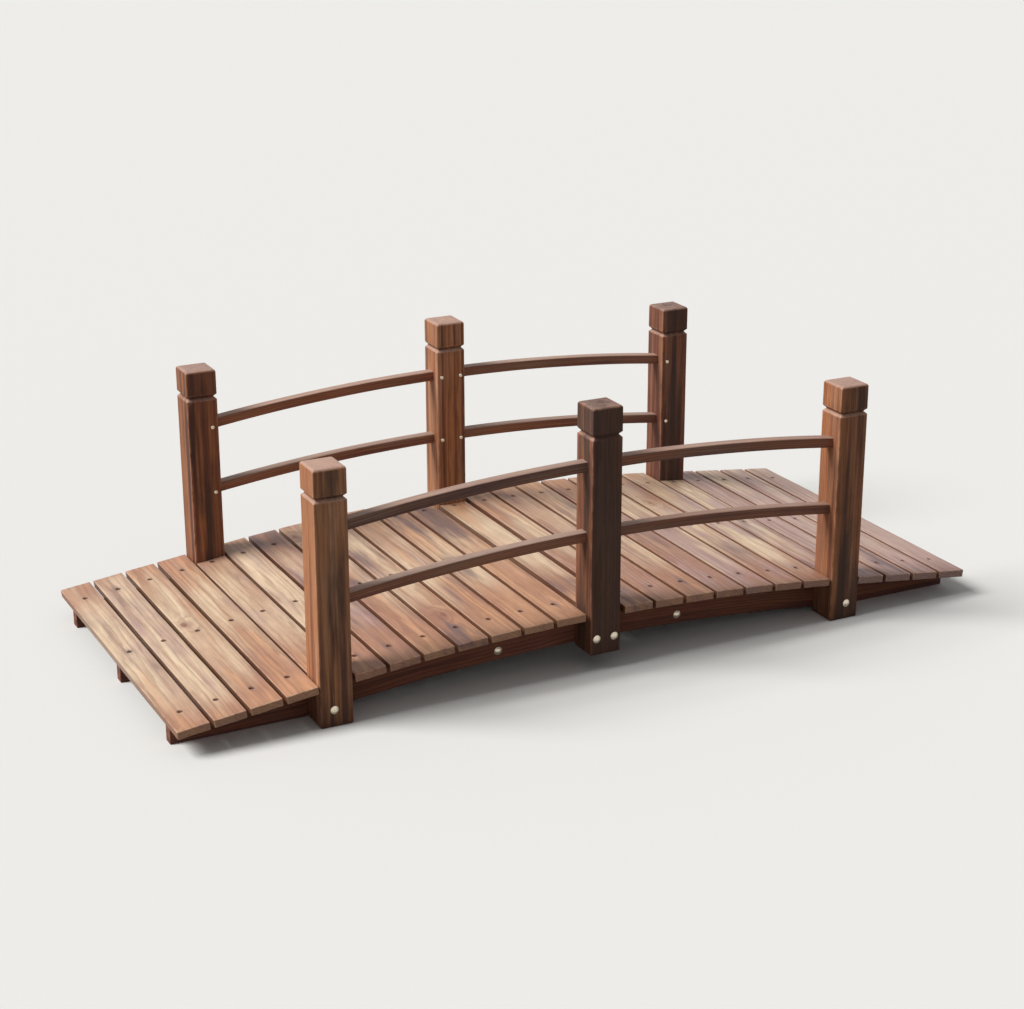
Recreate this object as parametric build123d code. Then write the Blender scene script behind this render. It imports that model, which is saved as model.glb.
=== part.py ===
"""Arched wooden garden footbridge with two rails on each side.

+X runs along the bridge, +Y towards its far side and +Z up. The origin is on the ground,
under the middle of the span. All sizes are in millimetres.
"""
from build123d import *

import os
from math import asin, cos, degrees, sin

# Deck and its boards, laid across the beams; each run of boards fills its room evenly, so
# board_width is the width that decides how many there are
deck_length = 1524.0
deck_width = 665.0
board_width = 55.4
board_thickness = 14.0
board_gap = 6.1
board_edge_chamfer = 1.5

# Arch of the deck's top: an arc between the end posts, then a straight tangent to each end
arch_radius = 4125.0
deck_height_at_end_posts = 79.5

# Square posts with a V groove under the cap, the end ones post_spacing from the middle one
post_spacing = 493.5
post_size = 57.0
post_length = 439.0
post_edge_chamfer = 1.5
cap_height = 45.0
cap_edge_radius = 5.0
groove_depth = 5.3

# Gaps along the deck between a post and the full boards beside it, and what the short boards
# that lie between two posts are narrower than them
middle_post_gap = 9.0
inner_post_gap = 4.0
outer_post_gap = 2.1
short_board_inset = 1.6

# Curved rails, with their heights measured at the crown from the deck's top to the rail's top
rail_radius = 3560.0
rail_thickness = 20.0
rail_depth = 18.4
rail_edge_chamfer = 1.5
upper_rail_height = 264.0
lower_rail_height = 140.0
mortise_depth = 20.0
mortise_clearance = 0.15

# Arched beams, each in two halves that meet at the crown
beam_thickness = 20.0
beam_depth = 60.0
beam_end_inset = 6.0
beam_joint_gap = 0.4

# Straight plates that join the beam halves
splice_length = 400.0
splice_depth = 36.0
splice_thickness = 20.0
splice_inset = 1.0

# Square-necked bolts with domed heads outside and nuts inside: one through each end post and
# its beam, two through each middle post, beam and plate, and one more near each plate's ends
bolt_neck = 6.0
bolt_head_diameter = 14.0
bolt_head_height = 3.5
bolt_end = 2.0
bolt_clearance = 0.3
nut_width = 10.0
nut_height = 5.0
post_bolt_rise = 29.5
end_bolt_offset = 4.5
middle_bolt_offset = 17.0
splice_bolt_offset = 176.0
splice_bolt_rise = 11.0

# Gap left between faces that lie on each other
seat_clearance = 0.1

# The arc's centre is under the crown, and the tangents leave it above the end posts
end_angle = asin(post_spacing / arch_radius)
arch_centre_z = deck_height_at_end_posts - arch_radius * cos(end_angle)
crown_z = arch_centre_z + arch_radius
end_post_along = arch_radius * end_angle

# Lines of the posts and beams across the bridge
post_y = (deck_width - post_size) / 2
side_beam_y = post_y - post_size / 2 - seat_clearance - beam_thickness / 2

# The middle posts reach as far above the deck as the end posts do
middle_foot_z = crown_z - deck_height_at_end_posts
splice_bottom = crown_z - board_thickness - seat_clearance - beam_depth + splice_inset

# Bolt places along and above the ground, as (x, z) from left to right
end_bolt_x = post_spacing + end_bolt_offset
end_bolts = [(side * end_bolt_x, post_bolt_rise) for side in (-1, 1)]
middle_bolts = [(side * middle_bolt_offset, middle_foot_z + post_bolt_rise) for side in (-1, 1)]
plate_bolts = [(side * splice_bolt_offset, splice_bottom + splice_bolt_rise) for side in (-1, 1)]


def deck_place(along):
    """Place on the deck's top at a signed distance from the crown, with its downhill angle."""
    side = 1 if along >= 0 else -1
    reach = min(abs(along), end_post_along)
    beyond = abs(along) - reach
    angle = reach / arch_radius
    x = arch_radius * sin(angle) + beyond * cos(angle)
    z = arch_centre_z + arch_radius * cos(angle) - beyond * sin(angle)
    return Location((side * x, 0, z), (0, side * degrees(angle), 0))


def along_deck(x):
    """Distance from the crown along the deck's top to the point above x."""
    if x <= post_spacing:
        return arch_radius * asin(x / arch_radius)
    return end_post_along + (x - post_spacing) / cos(end_angle)


def full_boards(x_start, x_end):
    """Full boards that fill the deck evenly between two x, as (distance, width, length)."""
    start = along_deck(x_start)
    room = along_deck(x_end) - start
    count = round((room + board_gap) / (board_width + board_gap))
    width = (room - (count - 1) * board_gap) / count
    return [(start + width / 2 + i * (width + board_gap), width, deck_width) for i in range(count)]


def deck_board(along, width, length):
    """One board with eased top edges, its top face centred on the deck's line."""
    board = Box(width, length, board_thickness, align=(Align.CENTER, Align.CENTER, Align.MAX))
    board = chamfer(board.faces().sort_by(Axis.Z)[-1].edges(), board_edge_chamfer)
    return deck_place(along) * board


def deck_boards():
    """All boards from the left end to the right end, short where they lie between posts."""
    short_length = deck_width - 2 * (post_size + seat_clearance)
    short_width = post_size - short_board_inset
    half_post = post_size / 2
    bay = full_boards(half_post + middle_post_gap, post_spacing - half_post - inner_post_gap)
    end = full_boards(post_spacing + half_post + outer_post_gap, deck_length / 2)
    half = bay + [(end_post_along, short_width, short_length)] + end
    mirrored = [(-along, width, length) for along, width, length in reversed(half)]
    rows = mirrored + [(0.0, short_width, short_length)] + half
    return [deck_board(*row) for row in rows]


def arc_band(radius, top_z, depth, thickness, x_start, x_end):
    """A bar bent to an arc whose highest point is at x = 0, between two upright end cuts."""
    def height(r, x):
        return top_z - radius + (r * r - x * x) ** 0.5

    def arc(r, x_a, x_b):
        x_m = (x_a + x_b) / 2
        return ThreePointArc((x_a, height(r, x_a)), (x_m, height(r, x_m)), (x_b, height(r, x_b)))

    top = arc(radius, x_start, x_end)
    bottom = arc(radius - depth, x_end, x_start)
    outline = Curve() + [top, Line(top @ 1, bottom @ 0), bottom, Line(bottom @ 1, top @ 0)]
    face = Plane.XZ * make_face(outline)
    return extrude(face, thickness / 2, both=True)


def rail_solid(side_x, side_y, rise, reach_in, spare=0.0):
    """A rail of one bay, let into both posts by reach_in and larger by spare all round."""
    x_a = post_size / 2 - reach_in
    x_b = post_spacing - post_size / 2 + reach_in
    top = crown_z + rise + spare
    depth = rail_depth + 2 * spare
    thickness = rail_thickness + 2 * spare
    rail = arc_band(rail_radius + spare, top, depth, thickness, x_a, x_b)
    rail = chamfer(rail.edges().filter_by(GeomType.CIRCLE), rail_edge_chamfer)
    if side_x < 0:
        rail = mirror(rail, about=Plane.YZ)
    return Pos(0, side_y * post_y, 0) * rail


def drilled(piece, spots):
    """The piece with a square bolt hole across the bridge at each spot."""
    width = bolt_neck + 2 * bolt_clearance
    for x, z in spots:
        piece -= Pos(x, 0, z) * Box(width, deck_width, width)
    return piece


def plain_post():
    """A post standing on z = 0 with eased edges, a rounded cap and a V groove on all four sides."""
    block = Box(post_size, post_size, post_length, align=(Align.CENTER, Align.CENTER, Align.MIN))
    capped = fillet(block.faces().sort_by(Axis.Z)[-1].edges(), cap_edge_radius)
    post = capped & chamfer(block.edges().filter_by(Axis.Z), post_edge_chamfer)
    groove_z = post_length - cap_height - groove_depth
    face_x = post_size / 2
    notch = Polyline((face_x, groove_z - groove_depth), (face_x - groove_depth, groove_z),
                     (face_x, groove_z + groove_depth), (face_x + groove_depth, groove_z), close=True)
    cutter = extrude(Plane.XZ * make_face(notch), post_size, both=True)
    for quarter in range(4):
        post -= Rot(0, 0, 90 * quarter) * cutter
    return post


def posts():
    """The six posts by name, with bolt holes and a mortise for each rail end that they hold."""
    mortise_reach = mortise_depth + mortise_clearance
    places = {
        "left": (-post_spacing, 0.0, end_bolts[:1]),
        "middle": (0.0, middle_foot_z, middle_bolts),
        "right": (post_spacing, 0.0, end_bolts[1:]),
    }
    made = {}
    for side_name, side_y in (("near", -1), ("far", 1)):
        for place, (x, z, spots) in places.items():
            post = drilled(Pos(x, side_y * post_y, z) * plain_post(), spots)
            for side_x in (-1, 1):
                if side_x * x < 0:
                    continue
                for rise in (upper_rail_height, lower_rail_height):
                    post -= rail_solid(side_x, side_y, rise, mortise_reach, mortise_clearance)
            made[f"{side_name}_{place}_post"] = post
    return made


def rails():
    """The eight rails by name."""
    made = {}
    for side_name, side_y in (("near", -1), ("far", 1)):
        for bay_name, side_x in (("left", -1), ("right", 1)):
            for level, rise in (("upper", upper_rail_height), ("lower", lower_rail_height)):
                name = f"{side_name}_{bay_name}_{level}_rail"
                made[name] = rail_solid(side_x, side_y, rise, mortise_depth)
    return made


def half_beam():
    """The right half of a beam: an arched band with a straight tail, cut flat along the ground."""
    top = arch_radius - board_thickness - seat_clearance
    bottom = top - beam_depth
    beam_end = deck_length / 2 - beam_end_inset
    tail = along_deck(beam_end) - end_post_along + beam_depth

    def on_arc(r, angle):
        return Vector(r * sin(angle), arch_centre_z + r * cos(angle))

    def on_tail(r):
        return on_arc(r, end_angle) + Vector(cos(end_angle), -sin(end_angle)) * tail

    half_angle = end_angle / 2
    top_arc = ThreePointArc(on_arc(top, 0), on_arc(top, half_angle), on_arc(top, end_angle))
    bottom_arc = ThreePointArc(on_arc(bottom, end_angle), on_arc(bottom, half_angle), on_arc(bottom, 0))
    tail_lines = Polyline(top_arc @ 1, on_tail(top), on_tail(bottom), bottom_arc @ 0)
    outline = Curve() + [top_arc, tail_lines, bottom_arc, Line(bottom_arc @ 1, top_arc @ 0)]
    band = extrude(Plane.XZ * make_face(outline), beam_thickness / 2, both=True)
    length = beam_end - beam_joint_gap / 2
    room = Box(length, beam_thickness, crown_z, align=(Align.MIN, Align.CENTER, Align.MIN))
    return band & (Pos(beam_joint_gap / 2, 0, 0) * room)


def beams():
    """The three beams by name, each in a left and a right half; the end bolts miss the centre."""
    centre = drilled(half_beam(), middle_bolts[1:] + plate_bolts[1:])
    side = drilled(centre, end_bolts[1:])
    lines = {"near": (-side_beam_y, side), "centre": (0.0, centre), "far": (side_beam_y, side)}
    made = {}
    for line_name, (y, right) in lines.items():
        made[f"{line_name}_left_beam"] = Pos(0, y, 0) * mirror(right, about=Plane.YZ)
        made[f"{line_name}_right_beam"] = Pos(0, y, 0) * right
    return made


def splice_plates():
    """Three plates on one side of the beam joints, the side ones on the inner faces."""
    offset = (beam_thickness + splice_thickness) / 2 + seat_clearance
    low = (Align.CENTER, Align.CENTER, Align.MIN)
    plate = Box(splice_length, splice_thickness, splice_depth, align=low)
    plate = drilled(Pos(0, 0, splice_bottom) * plate, middle_bolts + plate_bolts)
    places = (-side_beam_y + offset, offset, side_beam_y - offset)
    return Compound(children=[Pos(0, y, 0) * plate for y in places])


def bolt(spot, head_y, side_y, grip):
    """A bolt across the bridge that clamps grip, with its head's flat side at head_y.

    The dome is a cap of a sphere, and the square neck runs on through the nut.
    """
    head_radius = bolt_head_diameter / 2
    dome_radius = (head_radius**2 + bolt_head_height**2) / (2 * bolt_head_height)
    half_angle = asin(head_radius / dome_radius) / 2
    dome_x = dome_radius * sin(half_angle)
    dome_z = dome_radius * (1 - cos(half_angle)) - bolt_head_height
    dome = ThreePointArc((0, -bolt_head_height), (dome_x, dome_z), (head_radius, 0))
    flat = Polyline((head_radius, 0), (0, 0), (0, -bolt_head_height))
    solid = revolve(Plane.XZ * make_face(Curve() + [dome, flat]), Axis.Z)
    solid += extrude(Rectangle(bolt_neck, bolt_neck), grip + nut_height + bolt_end)
    solid += Pos(0, 0, grip) * extrude(RegularPolygon(nut_width / 2, 6, major_radius=False), nut_height)
    x, z = spot
    return Pos(x, head_y, z) * Rot(90 * side_y, 0, 0) * solid


def post_bolts():
    """The bolts that hold the posts to the side beams and, in the middle, the plates."""
    head_y = deck_width / 2 + seat_clearance
    end_grip = post_size + beam_thickness + 3 * seat_clearance
    middle_grip = end_grip + splice_thickness + seat_clearance
    made = []
    for side_y in (-1, 1):
        made += [bolt(spot, side_y * head_y, side_y, end_grip) for spot in end_bolts]
        made += [bolt(spot, side_y * head_y, side_y, middle_grip) for spot in middle_bolts]
    return Compound(children=made)


def splice_bolts():
    """The bolts that hold only beams and plates, with their heads on the beams' outer sides."""
    face = beam_thickness / 2 + seat_clearance
    grip = beam_thickness + splice_thickness + 3 * seat_clearance
    made = [bolt(spot, -face, -1, grip) for spot in middle_bolts + plate_bolts]
    for side_y in (-1, 1):
        made += [bolt(spot, side_y * (side_beam_y + face), side_y, grip) for spot in plate_bolts]
    return Compound(children=made)


def main():
    """Write each piece as a file of its own."""
    pieces = {f"deck_board_{i:02d}": board for i, board in enumerate(deck_boards(), start=1)}
    pieces.update(posts())
    pieces.update(rails())
    pieces.update(beams())
    pieces["splice_plates"] = splice_plates()
    pieces["post_bolts"] = post_bolts()
    pieces["splice_bolts"] = splice_bolts()
    os.makedirs("parts", exist_ok=True)
    for name, piece in pieces.items():
        export_step(piece, f"parts/{name}.step")


main()
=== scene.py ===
"""Finishes an arched garden footbridge: its boards, posts, rails, beams, screws and bolts.

Every piece is a surface of two parameters worked out with numpy, in metres, in the frame of the
packed model: +X along the bridge, +Y to its far side, +Z up.
"""
import math

import bpy
import numpy as np
from mathutils import Matrix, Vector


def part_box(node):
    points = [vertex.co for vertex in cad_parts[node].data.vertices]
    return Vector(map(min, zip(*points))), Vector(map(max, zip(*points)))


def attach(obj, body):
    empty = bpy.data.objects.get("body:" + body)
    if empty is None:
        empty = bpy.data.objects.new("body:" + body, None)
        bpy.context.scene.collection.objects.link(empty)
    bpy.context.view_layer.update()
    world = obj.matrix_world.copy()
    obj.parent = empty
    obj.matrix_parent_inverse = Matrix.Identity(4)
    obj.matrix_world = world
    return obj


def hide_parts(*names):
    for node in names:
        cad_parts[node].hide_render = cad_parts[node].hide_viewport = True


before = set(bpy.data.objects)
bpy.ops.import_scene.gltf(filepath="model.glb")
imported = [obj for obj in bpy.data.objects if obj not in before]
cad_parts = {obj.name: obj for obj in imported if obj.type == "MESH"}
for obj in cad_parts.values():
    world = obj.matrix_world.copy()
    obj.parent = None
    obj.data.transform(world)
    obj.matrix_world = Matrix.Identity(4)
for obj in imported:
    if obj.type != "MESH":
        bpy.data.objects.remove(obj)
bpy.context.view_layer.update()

bl_info = {
    "name": "Arched Garden Footbridge",
    "version": (1, 0, 0),
    "blender": (4, 5, 0),
    "location": "View3D > Sidebar > Footbridge",
    "description": "Builds the finished surfaces of an arched garden footbridge",
    "category": "Object",
}

POSTS = [f"{side}_{place}_post" for side in ("near", "far")
         for place in ("left", "middle", "right")]
RAILS = [f"{side}_{bay}_{level}_rail" for side in ("near", "far")
         for bay in ("left", "right") for level in ("upper", "lower")]
BEAMS = [f"{line}_{half}_beam" for line in ("near", "centre", "far") for half in ("left", "right")]
BOARDS = sorted(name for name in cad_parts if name.startswith("deck_board_"))

# Sizes of the model in metres that no single box of the frame tells.
POST_SIZE = 0.057
RAIL_DEPTH = 0.0184
BEAM_THICKNESS = 0.020
BEAM_DEPTH = 0.060
PLATE_THICKNESS = 0.020
EDGE_CHAMFER = 0.0015  # of the solid boards
SEAT = 0.0001          # between faces that rest on each other
NUT_PLAY = 0.0002      # between a nut and what it holds
MIDDLE_BOLT = 0.017    # from the bridge's middle to a middle post's bolt

# The studio: its floor, its key light and the strength of its backdrop.
FLOOR_REACH = 40.0
FLOOR_LEVEL = -0.0005
BACKDROP = 0.92
KEY_PLACE = (-6.0, 1.5, 6.0)
KEY_COLOUR = (1.0, 0.985, 0.96)
KEY_SPREAD = math.radians(30)

# The view: its place, its heading, its tip from straight down and its roll, and its focal length
# in pixels of a picture of the given width.
VIEW_PLACE = (-1.63474, -3.22154, 1.48294)
VIEW_TURN = (-0.467058, math.pi / 2 - 0.342745, -0.001879)
VIEW_FOCAL, PICTURE_WIDTH, SENSOR_WIDTH = 2114.32, 1024.0, 36.0


def length(name, description, default):
    """A size in metres."""
    return bpy.props.FloatProperty(name=name, description=description, default=default,
                                   min=0.0, precision=4, unit="LENGTH")


def share(name, description, default):
    """A strength between nothing and full."""
    return bpy.props.FloatProperty(name=name, description=description, default=default,
                                   min=0.0, max=1.0, subtype="FACTOR")


def power(name, description, default):
    """The strength of a light."""
    return bpy.props.FloatProperty(name=name, description=description, default=default, min=0.0)


def angle(name, description, degrees):
    """An angle, given in degrees."""
    return bpy.props.FloatProperty(name=name, description=description,
                                   default=math.radians(degrees), subtype="ANGLE", unit="ROTATION")


def colour(name, description, default):
    """A linear colour."""
    return bpy.props.FloatVectorProperty(name=name, description=description, default=default,
                                         size=3, min=0.0, max=1.0, subtype="COLOR")


TINTS = {
    "pale": ("Pale wood", "Bare and pale parts"),
    "deep": ("Deep wood", "Well stained parts"),
    "amber": ("Amber", "Warm streaks"),
    "ash": ("Ash", "Faded, mauve-grey parts"),
    "wine": ("Wine", "Dark red and purple streaks"),
    # Smoke also colours the painted shade on the near faces of the posts.
    "smoke": ("Smoke", "Scorched patches and streaks"),
    "line": ("Late wood", "Dark lines of the grain"),
    # This colour is painted shade in the gaps between boards, in the screw holes and in the posts'
    # grooves, and darkens the posts' feet.
    "stain": ("Stain", "Dark stain in gaps and screw holes, and of damp feet"),
    "bleach": ("Bleached wood", "Wood that the weather has paled"),
}


def stained(ring, rough, gloss, **tints):
    """The settings that every kind of wood has: growth rings, shine and the stain's colours."""
    settings = {"ring": length("Ring spacing", "Width of a growth ring", ring),
                "rough": share("Roughness", "Roughness of the stained surface", rough),
                "gloss": share("Gloss", "Strength of the surface's shine", gloss)}
    settings.update({key: colour(*TINTS[key], tint) for key, tint in tints.items()})
    return settings


class DeckLook(bpy.types.PropertyGroup):
    """Sizes and stain of the deck boards."""
    radius: length("Edge radius", "Rounding of a board's edges", 0.0018)
    sink_radius: length("Sink radius", "Radius of a screw's sunk hole at the surface", 0.0055)
    sink_depth: length("Sink depth", "Depth of a screw's sunk hole", 0.0030)
    screw_line: length("Screw line", "Distance of the outer screws from the middle", 0.2655)
    # The last colour is painted shade in the gaps between the boards and in the screw holes.
    __annotations__.update(stained(
        ring=0.0058, rough=0.50, gloss=0.42, pale=(0.76, 0.575, 0.395), deep=(0.41, 0.21, 0.135),
        amber=(0.60, 0.315, 0.170), ash=(0.41, 0.268, 0.262), wine=(0.30, 0.135, 0.095),
        smoke=(0.150, 0.103, 0.108), line=(0.20, 0.09, 0.055), stain=(0.115, 0.034, 0.013)))


class PostLook(bpy.types.PropertyGroup):
    """Sizes and stain of the posts."""
    radius: length("Edge radius", "Rounding of a post's upright edges", 0.0018)
    cap_radius: length("Cap radius", "Rounding of a cap's top edges", 0.005)
    cap_height: length("Cap height", "Height of the cap above the groove's middle", 0.0503)
    groove: length("Groove depth", "Depth of the groove under the cap", 0.0053)
    # Smoke also gives the painted shade of the near faces, and the colour after the late wood gives
    # the painted shade of the groove and the darker feet.
    __annotations__.update(stained(
        ring=0.0050, rough=0.58, gloss=0.20, pale=(0.60, 0.315, 0.18), deep=(0.27, 0.108, 0.058),
        amber=(0.49, 0.195, 0.082), ash=(0.25, 0.165, 0.145), wine=(0.105, 0.034, 0.032),
        smoke=(0.050, 0.034, 0.029), line=(0.11, 0.040, 0.022), stain=(0.060, 0.026, 0.017),
        bleach=(0.50, 0.335, 0.275)))


class RailLook(bpy.types.PropertyGroup):
    """Sizes and stain of the curved rails."""
    radius: length("Edge radius", "Rounding of a rail's edges", 0.002)
    __annotations__.update(stained(
        ring=0.0036, rough=0.55, gloss=0.30, pale=(0.36, 0.225, 0.15), deep=(0.21, 0.105, 0.066),
        amber=(0.43, 0.158, 0.075), ash=(0.24, 0.165, 0.13), wine=(0.130, 0.040, 0.034),
        smoke=(0.055, 0.042, 0.040), line=(0.075, 0.032, 0.022), stain=(0.060, 0.028, 0.020),
        bleach=(0.48, 0.33, 0.265)))


class BeamLook(bpy.types.PropertyGroup):
    """Sizes and stain of the beams and splice plates."""
    radius: length("Edge radius", "Rounding of a beam's edges", 0.0012)
    __annotations__.update(stained(
        ring=0.0048, rough=0.62, gloss=0.25, pale=(0.35, 0.130, 0.075), deep=(0.19, 0.062, 0.037),
        amber=(0.25, 0.090, 0.042), ash=(0.17, 0.095, 0.080), wine=(0.080, 0.023, 0.024),
        smoke=(0.045, 0.027, 0.024), line=(0.070, 0.024, 0.016), stain=(0.050, 0.022, 0.016),
        bleach=(0.26, 0.160, 0.130)))


class FixingLook(bpy.types.PropertyGroup):
    """Sizes and colours of the bolts and screws."""
    bolt_radius: length("Bolt head radius", "Radius of a bolt's domed head", 0.007)
    bolt_rise: length("Bolt head rise", "Height of a bolt's domed head", 0.0035)
    nut_width: length("Nut width", "Width of a nut across its flats", 0.010)
    deck_screw: length("Deck screw radius", "Radius of a deck screw's flat head", 0.0040)
    rail_screw: length("Rail screw radius", "Radius of a rail screw's round head", 0.0037)
    plated: colour("Plating", "Pale yellow plating of bolts and rail screws", (0.74, 0.655, 0.50))
    dull: colour("Dull steel", "Darkened steel of the deck screws", (0.055, 0.045, 0.040))


class StageLook(bpy.types.PropertyGroup):
    """Floor and lights of the studio."""
    floor: colour("Floor", "Colour of the floor as it is seen", (0.80, 0.80, 0.79))
    bounce: colour("Floor bounce", "Colour of the floor for the light it throws back",
                   (0.13, 0.13, 0.13))
    sky: power("Fill", "Strength of the even fill light", 0.27)
    key: power("Key", "Strength of the soft key light", 3.45)
    key_height: angle("Key height", "Height angle of the key light", 46)
    key_turn: angle("Key turn", "Turn of the key light behind the left end", 14)


class Wire:
    """A shader socket that adds Math nodes when it is used in arithmetic."""

    def __init__(self, tree, socket):
        self.tree = tree
        self.socket = socket

    def maths(self, operation, *values):
        return self.tree.add("ShaderNodeMath", {"operation": operation}, values)

    def __add__(self, other):
        return self.maths("ADD", self, other)

    __radd__ = __add__

    def __sub__(self, other):
        return self.maths("SUBTRACT", self, other)

    def __rsub__(self, other):
        return self.maths("SUBTRACT", other, self)

    def __mul__(self, other):
        return self.maths("MULTIPLY", self, other)

    __rmul__ = __mul__

    def __truediv__(self, other):
        return self.maths("DIVIDE", self, other)

    def root(self):
        return self.maths("SQRT", self)

    def fraction(self):
        return self.maths("FRACT", self)

    def larger(self, other):
        return self.maths("MAXIMUM", self, other)


class Tree:
    """The node tree of one material or world."""

    def __init__(self, owner):
        owner.use_nodes = True
        self.nodes = owner.node_tree.nodes
        self.links = owner.node_tree.links
        self.nodes.clear()

    def add(self, kind, settings=None, values=(), output=0):
        """One node: its settings are made first, then the values or links of its sockets.

        Gives its output, or a list of them where output is a tuple of names.
        """
        node = self.nodes.new(kind)
        for key, value in (settings or {}).items():
            setattr(node, key, value)
        pairs = values.items() if isinstance(values, dict) else enumerate(values)
        for key, value in pairs:
            if isinstance(value, Wire):
                self.links.new(value.socket, node.inputs[key])
            else:
                node.inputs[key].default_value = value
        if isinstance(output, tuple):
            return [Wire(self, node.outputs[key]) for key in output]
        return Wire(self, node.outputs[output]) if node.outputs else node

    def attribute(self, name, output="Fac"):
        return self.add("ShaderNodeAttribute", {"attribute_name": name}, output=output)

    def stretch(self, vector, scale, offset=(0.0, 0.0, 0.0)):
        """The vector times a scale per axis, plus an offset."""
        return self.add("ShaderNodeVectorMath", {"operation": "MULTIPLY_ADD"},
                        (vector, scale, offset))

    def noise(self, vector, across, along, offset=(0.0, 0.0, 0.0), detail=2.0, roughness=0.5):
        """Smooth noise from 0 to 1, with so many features per metre across and along the grain."""
        place = self.stretch(vector, (across, along, across), offset)
        return self.add("ShaderNodeTexNoise", None, {
            "Vector": place, "Scale": 1.0, "Detail": detail, "Roughness": roughness})

    def step(self, value, low, high):
        """A smooth rise from 0 where value is low to 1 where it is high."""
        return self.add("ShaderNodeMapRange", {"interpolation_type": "SMOOTHSTEP"},
                        {"Value": value, "From Min": low, "From Max": high})

    def blend(self, factor, first, second, mode="MIX"):
        """A colour between first and second."""
        rgba = [tuple(c) + (1.0,) if not isinstance(c, Wire) else c for c in (first, second)]
        return self.add("ShaderNodeMix", {"data_type": "RGBA", "blend_type": mode},
                        {0: factor, 6: rgba[0], 7: rgba[1]}, output=2)

    def parts(self, vector):
        """The three parts of a vector."""
        return self.add("ShaderNodeSeparateXYZ", None, (vector,), output=("X", "Y", "Z"))

    def bump(self, height, strength, distance):
        """A normal that is tilted by the slope of a height."""
        return self.add("ShaderNodeBump", None, {
            "Height": height, "Strength": strength, "Distance": distance})

    def surface(self, sockets):
        """The material's shader, with the values or links of its sockets."""
        shader = self.add("ShaderNodeBsdfPrincipled", None, sockets)
        self.add("ShaderNodeOutputMaterial", None, {"Surface": shader})


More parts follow.
